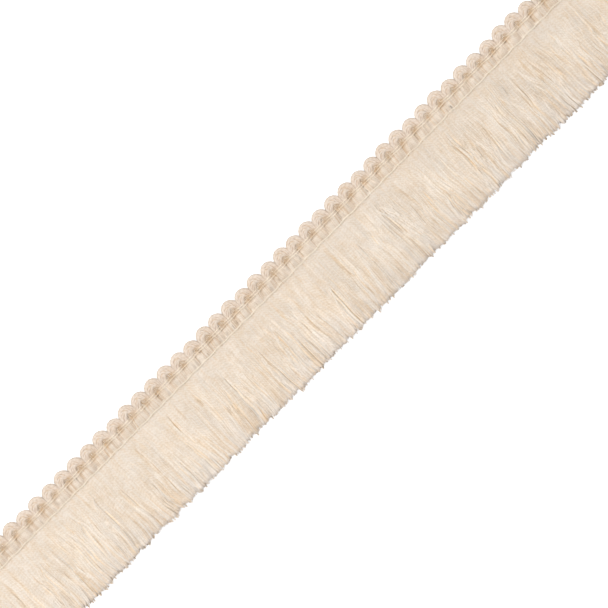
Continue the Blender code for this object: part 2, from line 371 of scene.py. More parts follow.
# Lean of the front threads in millimetres: from half loop to half loop, from thread to thread, all together,
# and of the share of them that cross the others, and their scatter in height and across the trim
FRONT_LEAN = 0.7
FRONT_THREAD_LEAN = 0.15
FRONT_ALL_LEAN = 0.45
CROSSING_SHARE = 0.15
CROSSING_LEAN = 1.2
FRONT_HEIGHTS = 0.09
FRONT_PLACES = 0.06

# Binding threads: their two plies, how much thicker the lower thread is, and its rings
PLY_RADIUS = 0.2 * MM
PLY_PITCH = 2.2 * MM
PLY_PLACE = 0.62
PLY_SHADES = (0.2, 0.4)
LOWER_THICKER = 1.12
BINDING_RINGS = 1001

# Lower and upper binding threads: reach of the waves that follow the loops and of slower ones, height, how
# far they dip between the humps, and half-width of a dip as a share of the repeat. The lower one bows over
# each hump, and the upper ones dip between the legs.
Binding = namedtuple("Binding", "with_loops slowly height dip dip_width")
LOWER = Binding(-0.16 * MM, 0.09 * MM, 3.55 * MM, 0.3 * MM, 0.09)
UPPER = Binding(0.1 * MM, 0.07 * MM, 3.48 * MM, 0.95 * MM, 0.17)
SLOW_WAVE = 13 * MM
BINDINGS = {
    "lower_binding": (LOWER, TOP_EDGE - 11.65 * MM),
    "upper_binding_1": (UPPER, TOP_EDGE - 7.0 * MM),
    "upper_binding_2": (UPPER, TOP_EDGE - 5.85 * MM),
}

# Root strip at the back: its edges and height, its weave, and how far it rises and reaches in the eyes of the
# loops, where the front threads turn in, with the painted shade it takes there
BACK_SEED = 61
BACK_LOW_Y = TOP_EDGE - 12.6 * MM
BACK_HIGH_Y = TOP_EDGE - 4.4 * MM
BACK_Z = 0.42 * MM
BACK_WEFTS = 790
WEFT_RADIUS = 0.27 * MM
WEFT_SCATTER = 0.03
WEFT_SHADES = (0.0, 0.8)
WEAVE_HEIGHT = 0.13 * MM
BACK_WARPS = 5
WARP_RADIUS = 0.16 * MM
WARP_SHADE = 0.4
WARP_RINGS = 401
LAST_WARP = END - 0.1 * MM
WARP_WAVE = 0.05 * MM
WARP_WAVE_LENGTH = 9 * MM
EYE_FILL = 2.5 * MM
EYE_FILL_REACH = 0.8 * MM
EYE_FILL_PAINTED_SHADE = 0.8
EYE_FILL_HALF_WIDTH = 2.3 * MM
EYE_FILL_FROM = (17.9 * MM, 19.2 * MM)

# Bake map: share of a strip's length that each cut end takes, radius of an end and margins as shares of a
# cell, how much longer than wide a cell is, the segments in one strip of a long thread, and the parts of the
# map that pieces take: left, foot, right and top
END_SHARE = 0.04
END_RADIUS = 0.4
MARGIN_ROUND = 0.08
MARGIN_ALONG = 0.02
CELL_LENGTH = 6
WARP_STRIP = 40
BINDING_STRIP = 50
WHOLE_MAP = (0.0, 0.0, 1.0, 1.0)
WEFT_MAP = (0.0, 0.1, 1.0, 1.0)
WARP_MAP = (0.0, 0.0, 1.0, 0.1)
YARN_MAP = (0.0, 0.08, 1.0, 1.0)
CORE_MAP = (0.0, 0.0, 1.0, 0.08)

# Millimetres along a thread at its root in the thread map, and how far that strays from thread to thread, so
# that the twist of neighbours agrees over a few threads only
START_OF_MAP = 40.0
TWIST_WANDER = 0.45

# Darker and greyer in the lower part of the brush, painted shade at its very tips and painted shade under
# the lower binding at the roots: where along a thread each starts and is full, and its share
TIP_AND_ROOT_DARKENING = ((0.66, 0.92, 0.18), (0.965, 1.0, 0.4), (0.12, 0.0, 0.1))

# Deeper cotton as a share of the clean colour, in the brush and in the heading. It also gives the painted
# shade: in the brush's partings, and in the heading's grooves, lower row and eyes, which is why the heading's
# is darker
DEEPER = (0.94, 0.82, 0.66, 1.0)
DEEPER_AND_EYE_SHADE = (0.81, 0.665, 0.50, 1.0)

# Looks of the yarns: strength of their tones, length of a twist in millimetres, relief, how round their
# shading is where they press together, and their deeper cotton, which also gives the painted shade
Look = namedtuple("Look", "strength twist relief roundness deep", defaults=(1.0, DEEPER_AND_EYE_SHADE))
LOOKS = {
    "brush_yarn_look": Look(0.75, 1.4, 0.16 * MM, 0.4, DEEPER),
    "brush_inner_shade_look": Look(0.5, 1.4, 0.16 * MM, 0.4, DEEPER),
    "back_yarn_look": Look(0.9, 1.0, 0.12 * MM),
    "cord_yarn_look": Look(0.58, 1.8, 0.12 * MM, 0.8),
    "front_yarn_look": Look(0.55, 0.9, 0.16 * MM),
    "binding_thread_look": Look(0.4, 0.7, 0.05 * MM),
}
COTTON_ROUGHNESS = 0.85
COTTON_GLOSS = 0.2
RELIEF_STRENGTH = 0.8

# Fibres side by side in one twist, and fibres met in a millimetre along a thread
FIBRES_IN_TWIST = 7.0
FIBRES_IN_MM = 0.9

# Nubs in the cotton, for each metre across the trim's length, across its width and upwards
NUBS_PER_METRE = (700.0, 700.0, 550.0)

# Tone of the batch and of the grooves of the twist, each about nothing, and how much darker the grooves are:
# painted shade in the hollows of the relief
BATCH_TONE = 0.9
GROOVE_TONE = 1.45
GROOVE_SHADE = 0.2

# Camera and light: the picture is square, and the trim rises through it from lower left to upper right
PICTURE_ACROSS = 265.5 * MM
CAMERA_HEIGHT = 3.0
CAMERA_CENTRE_X = LOOP_PITCH / 2
TRIM_ANGLE = math.radians(45.45)
SENSOR = 36.0
FARTHEST_SEEN = 50.0
LAMP_PLACE = (-0.3, 0.5, 1.9)
LAMP_SIZE = 1.1
LAMP_POWER = 36.5
WHITE = (1.0, 1.0, 1.0, 1.0)
SURROUND_STRENGTH = 0.62

# Floor, and the light that it adds to what the camera sees of it, so that it stays as white as in the
# photograph
FLOOR_SIZE = 30.0
FLOOR_ROUGHNESS = 0.9
FLOOR_GLOSS = 0.1
FLOOR_GLOW = 0.6


def length_property(name, description, default, least, most):
    """A size of a yarn that a user would change."""
    limits = {"min": least * MM, "max": most * MM}
    return FloatProperty(
        name=name, description=description, default=default, precision=5, unit="LENGTH", **limits
    )


def colour_property(name, description, *colour):
    """A colour that a user would change."""
    limits = {"size": 4, "min": 0.0, "max": 1.0}
    return FloatVectorProperty(
        name=name, description=description, default=(*colour, 1.0), subtype="COLOR", **limits
    )


class FringeSizes(bpy.types.PropertyGroup):
    """Sizes of the yarns."""

    brush_radius: length_property(
        "Brush thread radius", "Radius of one thread of the brush", 0.37 * MM, 0.1, 0.5
    )
    cord_yarn_radius: length_property(
        "Cord yarn radius",
        "Radius of one yarn of the scalloped cord where the cord is full",
        0.48 * MM,
        0.1,
        0.6,
    )
    binding_radius: length_property(
        "Binding thread ply radius",
        "Radius of one of the two plies of a binding thread",
        PLY_RADIUS,
        0.05,
        0.3,
    )
    cord_yarns: IntProperty(
        name="Cord yarns",
        description="Number of yarns round the scalloped cord",
        default=CORD_YARNS,
        min=8,
        max=22,
    )


class FringeColours(bpy.types.PropertyGroup):
    """Colours of the yarns."""

    brush: colour_property("Brush", "Colour of the clean brush threads", 0.854, 0.774, 0.687)
    # The same cotton as the face in a warmer, deeper colour: painted shade where the partings show the
    # threads below
    brush_inner_shade: colour_property(
        "Inside of the brush",
        "Colour of the threads under the face, which shows in the partings",
        0.89,
        0.72,
        0.515,
    )
    # Colour mixed in: painted shade at the cut tips and under the lower binding, and darker in the lower part
    cut_tips: colour_property("Cut tips", "Colour of the brush at its cut edge", 0.50, 0.44, 0.40)
    # Darker than the brush of the same cotton: partly the cord's own tone, partly painted shade between its
    # yarns
    cord: colour_property("Scalloped cord", "Colour of the cord's yarns", 0.722, 0.621, 0.531)
    front: colour_property("Front of the heading", "Colour of the threads over the cord", 0.826, 0.726, 0.619)
    binding: colour_property("Binding threads", "Colour of the binding threads", 0.895, 0.80, 0.675)
    floor: colour_property("Floor", "Colour of the floor", 0.6, 0.6, 0.6)


def deselect_all():
    """Leave nothing selected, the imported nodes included."""
    bpy.ops.object.select_all(action="DESELECT")


def repeat(thing, count, offset, merged):
    """Repeat an object's mesh in a row, each copy with its own points unless they are merged."""
    row = thing.modifiers.new("row", "ARRAY")
    row.count = count
    row.use_relative_offset = False
    row.use_constant_offset = True
    row.constant_offset_displace = offset
    row.use_merge_vertices = merged
    row.merge_threshold = MERGE_WITHIN
    bpy.context.view_layer.objects.active = thing
    bpy.ops.object.modifier_apply(modifier=row.name)


def straight_thread(name, sides, segments):
    """One straight thread with closed ends: a tube along Z, with a ring of points at each whole height."""
    deselect_all()
    bpy.ops.mesh.primitive_circle_add(vertices=sides, radius=1.0, fill_type="NOTHING")
    thread = bpy.context.active_object
    thread.name = name
    thread.data.name = name
    bpy.ops.object.mode_set(mode="EDIT")
    bpy.ops.mesh.select_all(action="SELECT")
    bpy.ops.mesh.extrude_region_move(TRANSFORM_OT_translate={"value": (0.0, 0.0, 1.0)})
    bpy.ops.object.mode_set(mode="OBJECT")
    repeat(thread, segments, (0.0, 0.0, 1.0), merged=True)
    bpy.ops.object.mode_set(mode="EDIT")
    bpy.ops.mesh.select_all(action="SELECT")
    bpy.ops.mesh.fill_holes(sides=0)
    bpy.ops.mesh.select_all(action="SELECT")
    bpy.ops.mesh.normals_make_consistent(inside=False)
    bpy.ops.object.mode_set(mode="OBJECT")
    return thread


def read_points(mesh):
    """The mesh's points as an array."""
    places = np.empty(len(mesh.vertices) * 3)
    mesh.vertices.foreach_get("co", places)
    return places.reshape(-1, 3)


def chart_of(mesh, ring, turn, segments, strip):
    """For each face corner of a straight thread: U round it, V within its strip, ring, and strip number."""
    rows = []
    for face in mesh.polygons:
        verts = list(face.vertices)
        rings, turns = ring[verts], turn[verts]
        first = rings.min()
        if first == rings.max():
            at_foot = first == 0
            beyond = -END_SHARE / 2 if at_foot else 1 + END_SHARE / 2
            number = 0 if at_foot else (segments - 1) // strip
            for t, r in zip(turns, rings):
                u = 0.5 + END_RADIUS * math.cos(TURN * t)
                v = beyond + END_RADIUS * END_SHARE * math.sin(TURN * t)
                rows.append((u, v, r, number))
            continue
        number = first // strip
        over_seam = turns.max() - turns.min() > 0.5
        for t, r in zip(turns, rings):
            u = t + 1 if over_seam and t < 0.5 else t
            rows.append((u, (r - number * strip) / strip, r, number))
    return np.array(rows)


def mark_ends_sharp(mesh, ring):
    """Keep the cut ends flat while the thread is shaded round."""
    last = ring.max()
    for edge in mesh.edges:
        a, b = ring[list(edge.vertices)]
        edge.use_edge_sharp = bool(a == b and a in (0, last))


def unit(vectors):
    """The vectors at length one."""
    return vectors / np.maximum(np.linalg.norm(vectors, axis=-1, keepdims=True), 1e-12)


def frames_along(lines, reference):
    """Two directions square to each line at each ring."""
    forward = unit(np.gradient(lines, axis=-2))
    side = unit(np.cross(forward, reference))
    return side, np.cross(forward, side)


def run_of(lines):
    """Length run along each line up to each of its points."""
    run = np.cumsum(np.linalg.norm(np.diff(lines, axis=-2), axis=-1), axis=-1)
    return np.concatenate((np.zeros_like(run[..., :1]), run), axis=-1)


def points_at(x, y, z):
    """Points with these coordinates."""
    return np.stack(np.broadcast_arrays(x, y, z), axis=-1)


def each(rng, count, low, high):
    """One even draw for each thread, in a column."""
    return rng.uniform(low, high, count)[:, None]


def lay_threads(name, lines, radii, shades, sides, reference=UP, strip=None, bake_part=WHOLE_MAP):
    """Many like threads as one mesh. Each copy of a straight thread is laid along its own line.

    lines holds count x rings points, radii count x rings radii, and shades one tone for each thread or ring.
    """
    count, rings = lines.shape[:2]
    segments = rings - 1
    strip = strip or segments
    piece = straight_thread(name, sides, segments)
    mesh = piece.data
    straight = read_points(mesh)
    ring = np.rint(straight[:, 2]).astype(int)
    angle = np.arctan2(straight[:, 1], straight[:, 0])
    turn = (angle / TURN) % 1.0
    turn = turn - turn.min()
    if reference is UP:
        # One flat side of each thread faces up
        angle = angle + math.pi / sides - math.pi / 2
    chart = chart_of(mesh, ring, turn, segments, strip)
    mark_ends_sharp(mesh, ring)
    repeat(piece, count, (COPY_SPACING, 0.0, 0.0), merged=False)
    mesh = piece.data

    side, lift = frames_along(lines, reference)
    around = np.cos(angle)[None, :, None] * side[:, ring] + np.sin(angle)[None, :, None] * lift[:, ring]
    places = lines[:, ring] + radii[:, ring, None] * around
    mesh.vertices.foreach_set("co", places.ravel())

    if shades.ndim == 1:
        shades = np.repeat(shades[:, None], rings, axis=1)
    store(mesh, "shade", shades[:, ring].ravel())
    store(mesh, "along", np.tile(ring / segments, count))
    add_maps(mesh, lines, chart, bake_part)
    mesh.polygons.foreach_set("use_smooth", np.ones(len(mesh.polygons), bool))
    mesh.update()
    return piece


def store(mesh, name, values):
    """Keep one number for each point under a name that the materials read."""
    attribute = mesh.attributes.new(name, "FLOAT", "POINT")
    attribute.data.foreach_set("value", values.astype(np.float32))


def add_maps(mesh, lines, chart, bake_part):
    """Two UV maps: turns and millimetres along each thread, and one where no two faces overlap."""
    count = len(lines)
    u, v, ring, number = chart.T
    length = run_of(lines)[:, ring.astype(int)] / MM
    wander = np.cumsum(np.random.default_rng(count).normal(0.0, TWIST_WANDER, count))
    set_map(mesh, "thread_uv", u[None], length + (START_OF_MAP + wander)[:, None])

    strips = int(number.max()) + 1
    rows = max(1, round(math.sqrt(count * strips / CELL_LENGTH)))
    columns = math.ceil(count * strips / rows)
    cell = np.arange(count)[:, None] * strips + number[None, :]
    left, foot, right, top = bake_part
    wide, high = (right - left) / columns, (top - foot) / rows
    inner = (v + END_SHARE) / (1 + 2 * END_SHARE)
    bake_u = left + wide * (cell % columns + MARGIN_ROUND + (1 - 2 * MARGIN_ROUND) * u)
    bake_v = foot + high * (cell // columns + MARGIN_ALONG + (1 - 2 * MARGIN_ALONG) * inner)
    set_map(mesh, "OFBake", bake_u, bake_v)


def set_map(mesh, name, u, v):
    """Write a UV map."""
    layer = mesh.uv_layers.new(name=name, do_init=False)
    values = np.stack(np.broadcast_arrays(u, v), axis=-1)
    layer.uv.foreach_set("vector", values.astype(np.float32).ravel())


def join_into(first, *others):
    """Join meshes into the first one."""
    deselect_all()
    for thing in (first, *others):
        thing.select_set(True)
    bpy.context.view_layer.objects.active = first
    bpy.ops.object.join()
    return first


def hand_over(piece, material, node):
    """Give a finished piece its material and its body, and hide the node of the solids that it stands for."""
    piece.data.materials.clear()
    piece.data.materials.append(material)
    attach(piece, "root")
    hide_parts(node)


def ease(low, high, value):
    """From 0 at low to 1 at high, smoothly."""
    share = np.clip((value - low) / (high - low), 0.0, 1.0)
    return share * share * (3 - 2 * share)


# Brush


def sway_of(x):
    """Sideways drift of the brush at the cut edge, as in the solids."""
    rng = random.Random(SWAY_SEED)
    drift = np.zeros_like(x)
    for length, reach in SWAY_WAVES:
        drift += reach * np.sin(TURN * x / length + rng.uniform(0, TURN))
    return drift * np.clip((END - np.abs(x)) / SWAY_FADE, 0.0, 1.0)


def part(rng, kind):
    """Part the brush along the trim into clumps or tufts."""
    edges = [-END]
    while edges[-1] < END:
        edges.append(edges[-1] + rng.uniform(*kind["width"]) * MM)
    edges = np.array(edges)
    count = len(edges) - 1
    lean = kind["lean"] * MM
    return kind | {
        "edges": edges,
        "middle": (edges[1:] + edges[:-1]) / 2,
        "half": (edges[1:] - edges[:-1]) / 2,
        "lean": rng.normal(0.0, lean, count).clip(-2 * lean, 2 * lean),
        "gather": rng.uniform(*kind["gather"], count),
        "onset": rng.uniform(*kind["onset"], count),
        "closing": rng.uniform(0.0, kind["closing"], count),
        "level": rng.uniform(-1.0, 1.0, count),
    }


def pull(rng, clumps, x, share):
    """What clumps do to threads rooted at x: sideways pull, fall towards their edges, step up, and level."""
    x = x + rng.normal(0, clumps["scatter"] * MM, len(x))
    index = np.clip(np.searchsorted(clumps["edges"], x) - 1, 0, len(clumps["middle"]) - 1)
    lean, gather, onset, closing, level = (
        clumps[name][index][:, None] for name in ("lean", "gather", "onset", "closing", "level")
    )
    offset = (x - clumps["middle"][index])[:, None]
    drawn = ease(onset, np.minimum(onset + GATHER_RUN, 1.0), share)
    opened = 1 - closing * ease(OPENS_FROM, 1.0, share)
    sideways = lean * ease(onset * 0.5, LEAN_UNTIL, share) - gather * offset * drawn * opened
    fall = clumps["crown"] * (offset / clumps["half"][index][:, None]) ** 2 * drawn
    return sideways, fall, clumps["step"] * level * drawn, level


def drift_of(x, share):
    """Slow sideways wander of the threads, shared by neighbours."""
    rng = np.random.default_rng(DRIFT_SEED)
    drift = 0.0
    for _ in range(DRIFT_WAVES):
        across, down = rng.uniform(*DRIFT_ACROSS), rng.uniform(*DRIFT_DOWN)
        first, second = rng.uniform(0, TURN, 2)
        reach = DRIFT_SHARE * across * rng.uniform(*DRIFT_REACHES)
        swing = np.sin(TURN * share / down + second) - np.sin(second)
        drift = drift + reach * np.sin(TURN * x / across + first) * swing
    return drift * ease(0.0, HELD_SHARE, share)


def part_aside(line_x, share):
    """Push threads aside at the short partings, so that the layer below shows, and say how near they are."""
    rng = np.random.default_rng(PARTING_SEED)
    shift, nearness = np.zeros_like(line_x), np.zeros_like(line_x)
    for _ in range(PARTING_COUNT):
        centre_x = rng.uniform(-END, END)
        down = share - rng.uniform(*PARTING_PLACE)
        half_length = rng.uniform(*PARTING_HALF_LENGTH)
        push = rng.uniform(*PARTING_PUSH)
        away = line_x - centre_x - rng.normal(0.0, PARTING_SLANT) * down
        beside = np.exp(-((down / half_length) ** 2))
        shift += push * np.tanh(away / PARTING_EDGE) * np.exp(-np.abs(away) / PARTING_REACH) * beside
        nearness += np.exp(-((away / PARTING_PAINTED_SHADE_REACH) ** 2)) * beside
    return shift, nearness


def sweeps_of(x, share):
    """Sideways reach of the locks that sweep across the face, and how far each ring takes part."""
    rng = np.random.default_rng(SWEEP_SEED)
    reach, taking_part = np.zeros((len(x), share.size)), np.zeros((len(x), share.size))
    for _ in range(SWEEP_COUNT):
        centre, half_width = rng.uniform(-END, END), rng.uniform(*SWEEP_HALF_WIDTH)
        lean = rng.uniform(*SWEEP_LEAN) * rng.choice((-1.0, 1.0))
        start = rng.uniform(*SWEEP_FROM)
        joins = (np.abs(x - centre) < half_width) & (rng.random(len(x)) < SWEEP_JOINING)
        begun = ease(start, start + SWEEP_RUN, share)
        straightened = share - 0.5 * np.maximum(share - start - SWEEP_BEND, 0.0) - start
        reach[joins] = (lean * begun * straightened)[0]
        taking_part[joins] = begun[0]
    return reach, taking_part


def cut_edge_of(x):
    """Where the shears cut the brush: a slow wave, and a step from tuft to tuft."""
    rng = np.random.default_rng(CUT_SEED)
    edges = np.cumsum(rng.uniform(*CUT_TUFT_WIDTH, CUT_TUFTS)) * MM - END - 1 * MM
    steps = rng.uniform(0.0, 1.0, len(edges)) ** CUT_TUFT_BIAS
    wave = CUT_WAVE * (1 + np.sin(TURN * x / CUT_WAVE_LENGTH + CUT_WAVE_START)) / 2
    return CUT_EDGE - CUT_REACH + wave + CUT_TUFT * steps[np.searchsorted(edges, x)]


def swell_of(share):
    """How far the brush stands up along its threads, in millimetres at its face."""
    return SWELL_START + sum(rise * ease(start, finish, share) for rise, start, finish in SWELLS)


def brush_lines(layer):
    """Lines, radii factors and shades of all threads in one layer of the brush."""
    rng = np.random.default_rng(layer.seed)
    columns, rows = layer.threads, layer.rows
    count = columns * rows
    pitch = 2 * LAST_YARN / columns
    column, row = np.arange(count) % columns, np.arange(count) // columns
    x = -LAST_YARN + (column + 0.5 + 0.5 * (row % 2) - 0.25) * pitch
    x = x + rng.uniform(-ROOT_SCATTER, ROOT_SCATTER, count) * pitch
    share = np.concatenate((ROOT_SHARES, np.linspace(EVEN_FROM, 1.0, layer.segments - 2)))[None, :]

    # Sideways
    clumps, tufts = part(rng, CLUMPS), part(rng, TUFTS)
    pulled, fall, step, level = pull(rng, clumps, x, share)
    tuft_pulled, tuft_fall, tuft_step, _ = pull(rng, tufts, x, share)
    ends = np.clip((END - np.abs(x)) / END_FADE, 0.0, 1.0)[:, None]
    moved = (pulled + tuft_pulled) * layer.parting + drift_of(x[:, None], share)
    line_x = x[:, None] + sway_of(x)[:, None] * share**SWAY_GROWTH + moved * ends
    for shortest, longest, most in THREAD_WAVES:
        length, phase = each(rng, count, shortest, longest), each(rng, count, 0, TURN)
        wave = np.sin(TURN * share / length + phase) - np.sin(phase)
        line_x = line_x + each(rng, count, 0.0, most) * wave * ease(0.0, HELD_SHARE, share) * ends
    stray = ((rng.random(count) < STRAYS) * rng.normal(0.0, STRAY_LEAN, count))[:, None]
    line_x = line_x + stray * ease(0.0, STRAY_RUN, share - each(rng, count, *STRAY_FROM)) * ends
    swept, sweeping = sweeps_of(x, share)
    on_top = (layer is BRUSH_LAYERS[-1]) * (row == rows - 1)[:, None]
    line_x = line_x + swept * on_top * ends
    aside, nearness = part_aside(line_x, share)
    line_x = line_x + aside * layer.parting * ends
    line_x = np.clip(line_x, -END - PAST_END, END + PAST_END)

    # Down to the cut
    cut = cut_edge_of(line_x[:, -1]) + rng.uniform(0, CUT_THREAD, count)
    for chance, least, most, way in ODD_CUTS:
        cut = cut + way * (rng.random(count) < chance) * rng.uniform(least, most, count) * MM
    line_y = START_Y + (cut - START_Y)[:, None] * share

    # Height
    height = layer.low + (layer.high - layer.low) * row / (rows - 1)
    spread = layer.high / FACE_HEIGHT
    ripple = 0.0
    for shortest, longest, most in RIPPLES:
        length, phase = each(rng, count, shortest, longest), each(rng, count, 0, TURN)
        ripple = ripple + most * np.sin(TURN * share / length + phase)
    ripple = ripple * (RIPPLE_AT_ROOT + (1 - RIPPLE_AT_ROOT) * share)
    uneven = spread * (-fall - tuft_fall + (step + tuft_step) + ripple)
    line_z = height[:, None] + spread * swell_of(share) + uneven + SWEEP_LIFT * sweeping * on_top
    droop = each(rng, count, 0.0, DROOP) * ease(DROOP_FROM, 1.0, share) * spread
    line_z = np.maximum(line_z - droop, layer.low - HANG * spread) * MM

    # Tone and thickness
    shades = (layer.tone + THREAD_TONE * rng.normal(size=count))[:, None] + CLUMP_TONE * level
    # Random tone along each thread, and painted shade beside the partings
    shades = shades + ALONG_TONE * rng.normal(size=line_x.shape) + PARTING_PAINTED_SHADE * nearness
    thicker = THICKER_ALONG * np.sin(THICK_WAVES * share + each(rng, count, 0, TURN))
    thick = each(rng, count, *THREAD_THICKNESS) * (1 + thicker)
    in_pairs = rng.normal(size=columns)[column // 2]
    shades = shades + PAIR_TONE * in_pairs[:, None] * ease(*PAIR_SHARES, share)
    return points_at(line_x, line_y, np.maximum(line_z, LEAST_HEIGHT)), thick, shades.clip(0.0, 1.0)


def face_height(y):
    """Height of the brush's face at a place across the trim."""
    return FUZZ_Z + swell_of((START_Y - y) / (START_Y - CUT_EDGE)) * MM


def fuzz_lines():
    """Fine loose fibres that lie over the brush, and cross its threads."""
    rng = np.random.default_rng(FUZZ_SEED)
    middle_x = rng.uniform(-END + FUZZ_FROM_END, END - FUZZ_FROM_END, FUZZ_COUNT)[:, None]
    middle_y = CUT_EDGE + FUZZ_FROM_CUT + each(rng, FUZZ_COUNT, 0.0, 1.0) * FUZZ_BAND
    length = each(rng, FUZZ_COUNT, *FUZZ_LENGTH)
    slant = rng.normal(0.0, FUZZ_SLANT, FUZZ_COUNT)[:, None]
    curl = rng.normal(0.0, FUZZ_CURL, FUZZ_COUNT)[:, None]
    share = np.linspace(-0.5, 0.5, FUZZ_RINGS)
    turned = slant + curl * share
    line_x = middle_x + length * share * np.sin(turned)
    line_y = middle_y + length * share * np.cos(turned)
    level = face_height(line_y) + each(rng, FUZZ_COUNT, *FUZZ_HEIGHTS) * MM
    lines = points_at(line_x, line_y, level - FUZZ_SAG * (2 * np.abs(share)) ** 2)
    radii = FUZZ_RADIUS * each(rng, FUZZ_COUNT, *FUZZ_RADII) * np.ones_like(line_x)
    wisps, wisp_radii = wisp_lines(share)
    shades = rng.uniform(*FUZZ_SHADES, FUZZ_COUNT + len(wisps))
    return np.concatenate((lines, wisps)), np.concatenate((radii, wisp_radii)), shades


def wisp_lines(share):
    """A few strands that lie slanted over the face."""
    rng = np.random.default_rng(WISP_SEED)
    lines, radii = [], []
    for _ in range(WISP_GROUPS):
        x = rng.uniform(-END + WISP_FROM_END, END - WISP_FROM_END)
        y = rng.uniform(CUT_EDGE + WISP_FROM_EDGE, ROOT_Y - WISP_FROM_EDGE)
        slant = rng.uniform(*WISP_SLANT) * rng.choice((-1, 1))
        for strand in range(rng.integers(*WISP_STRANDS)):
            length = rng.uniform(*WISP_LENGTH)
            turned = slant + rng.normal(0.0, WISP_SCATTER) + rng.normal(0.0, WISP_CURL) * share
            line_x = x + strand * WISP_SPACING + length * share * np.sin(turned)
            line_y = y + rng.normal(0.0, WISP_STAGGER) * MM + length * share * np.cos(turned)
            line_z = face_height(line_y) - WISP_SINK - WISP_SAG * (2 * np.abs(share)) ** 3
            lines.append(points_at(line_x, line_y, line_z))
            radii.append(np.full(len(share), WISP_RADIUS) * rng.uniform(*WISP_RADII))
    return np.array(lines), np.array(radii)


# Heading


def arc(centre_x, centre_y, radius, sweep, steps):
    """Points round a turn that starts on its left, with their angles."""
    angles = math.pi + sweep * np.linspace(0.0, 1.0, steps)
    return zip(centre_x + radius * np.cos(angles), centre_y + radius * np.sin(angles), angles)


def eye_shifts():
    """How far the eye of each loop lies to the right of the loop's middle."""
    return np.random.default_rng(CORD_SEED + 2).uniform(*EYE_SHIFT, LOOP_COUNT)


def beside_eye(x):
    """Distance along the trim from the eye of the loop at x."""
    place = (x + END) / LOOP_PITCH
    index = np.clip(np.floor(place), 0, LOOP_COUNT - 1).astype(int)
    return (place - index - 0.5) * LOOP_PITCH - eye_shifts()[index]


def cord_route():
    """Line through the middle of the scalloped cord, with its fullness there."""
    rng = random.Random(CORD_SEED)
    drops = [rng.random() ** 2 * LOOP_DROP for _ in range(LOOP_COUNT)]
    shape = np.random.default_rng(CORD_SEED)
    route = []
    for index, shift in enumerate(eye_shifts()):
        x = -END + (index + 0.5) * LOOP_PITCH
        y = LOOP_TURN_Y - (drops[index] - min(drops))
        radius = TURN_RADIUS * shape.uniform(*LOOP_WIDTHS)
        skew = shape.uniform(-LOOP_SKEW, LOOP_SKEW) * MM
        fatness = shape.uniform(*LOOP_FATNESS)
        route.append((x - WAIST_REACH, WAIST_Y, HELD_Z + WAIST_TILT, WAIST_FULLNESS[0]))
        for turn_x, turn_y, angle in arc(x + skew, y, radius, -math.pi, LOOP_POINTS):
            raised = max(math.sin(angle), 0.0)
            wide_x = x + (turn_x - x) * (1 + LOOP_FOOT * (1 - raised)) - LOOP_LEAN * shift * raised
            high_y = y + (turn_y - y) * LOOP_HEIGHT
            fuller = -FULLER_LEG * shift * math.cos(angle) * (1 - raised)
            full = fatness * (FOOT_FULLNESS + TOP_FULLNESS * raised**TOP_SPREAD) + fuller
            route.append((wide_x, high_y, LOOP_Z - LOOP_TILT * math.cos(angle), full))
        route.append((x + WAIST_REACH, WAIST_Y, HELD_Z - WAIST_TILT, WAIST_FULLNESS[1]))
        if index < LOOP_COUNT - 1:
            held = arc(x + LOOP_PITCH / 2, HELD_TURN_Y, HELD_TURN_RADIUS, math.pi, HELD_POINTS)
            route += [(held_x, held_y, HELD_Z, 0.0) for held_x, held_y, _ in held]
    # Down to the foot of the heading at both cut ends, and at the right one back up to the waist
    foot = HELD_TURN_Y - HELD_TURN_RADIUS
    cut = foot - CUT_CORD_REACH
    *route, waist = route
    left = ((-END + PRESSED_CORD, cut, HELD_Z, 0.0), (-END + HELD_TURN_RADIUS, foot, HELD_Z, 0.0))
    right = ((END - HELD_TURN_RADIUS, foot, HELD_Z, waist[3]), (END - PRESSED_CORD, cut, HELD_Z, 0.0))
    return np.array((*left, *route, *right, (*waist[:3], 0.0)))


def even_line(route, rings):
    """The same line and fullness with its rings evenly spaced and its corners rounded."""
    length = run_of(route[:, :3])
    fine = np.linspace(0.0, length[-1], rings * FINE_STEPS)
    window = np.hanning(CORNER_WINDOW)[1:-1]
    window /= window.sum()
    pad = len(window) // 2
    picked = np.linspace(0, rings * FINE_STEPS - 1, rings)
    columns = []
    for column in route.T:
        padded = np.pad(np.interp(fine, length, column), pad, mode="edge")
        rounded = np.convolve(padded, window, mode="valid")
        columns.append(np.interp(picked, np.arange(rings * FINE_STEPS), rounded))
    return np.stack(columns[:3], axis=-1), columns[3]


def cord_lines(yarns, yarn_radius):
    """Lines and radii of the cord's outer yarns, and of the core that fills it."""
    rng = np.random.default_rng(CORD_SEED + 1)
    route, full = even_line(cord_route(), LOOP_COUNT * RINGS_IN_LOOP)
    rings = len(route)
    side, lift = frames_along(route[None], UP)
    cord = PRESSED_CORD + (FULL_CORD - PRESSED_CORD) * full
    lines, radii = [], []
    for yarn in range(yarns):
        knots = rng.uniform(-1.0, 1.0, rings // RINGS_IN_KNOT)
        loose = np.interp(np.arange(rings), np.linspace(0, rings, len(knots)), knots)
        angle = TURN * (yarn / yarns + run_of(route) / CORD_TWIST) + YARN_STRAY * loose
        uneven = 1 + YARN_STRAY * np.roll(loose, THICKER_LATER)
        radius = yarn_radius * (PRESSED_YARN + FULLER_YARN * full) * uneven
        ring_radius = cord - radius + YARN_LIFT * loose * full
        flat = 1 - (1 - CORD_FLATNESS) * full
        across, upwards = squared(np.cos(angle), full), squared(np.sin(angle), full) * flat
        offset = across[:, None] * side[0] + upwards[:, None] * lift[0]
        lines.append(route + ring_radius[:, None] * offset)
        radii.append(radius)
    core = (cord - CORE_ROOM * yarn_radius)[None]
    return press_together(np.array(lines), route, yarn_radius), np.array(radii), route[None], core


def squared(reach, full):
    """Reach from the middle of the cord, squared off where the cord is full and presses on its neighbours."""
    return np.sign(reach) * np.abs(reach) ** (1 - CORD_SQUARENESS * full)


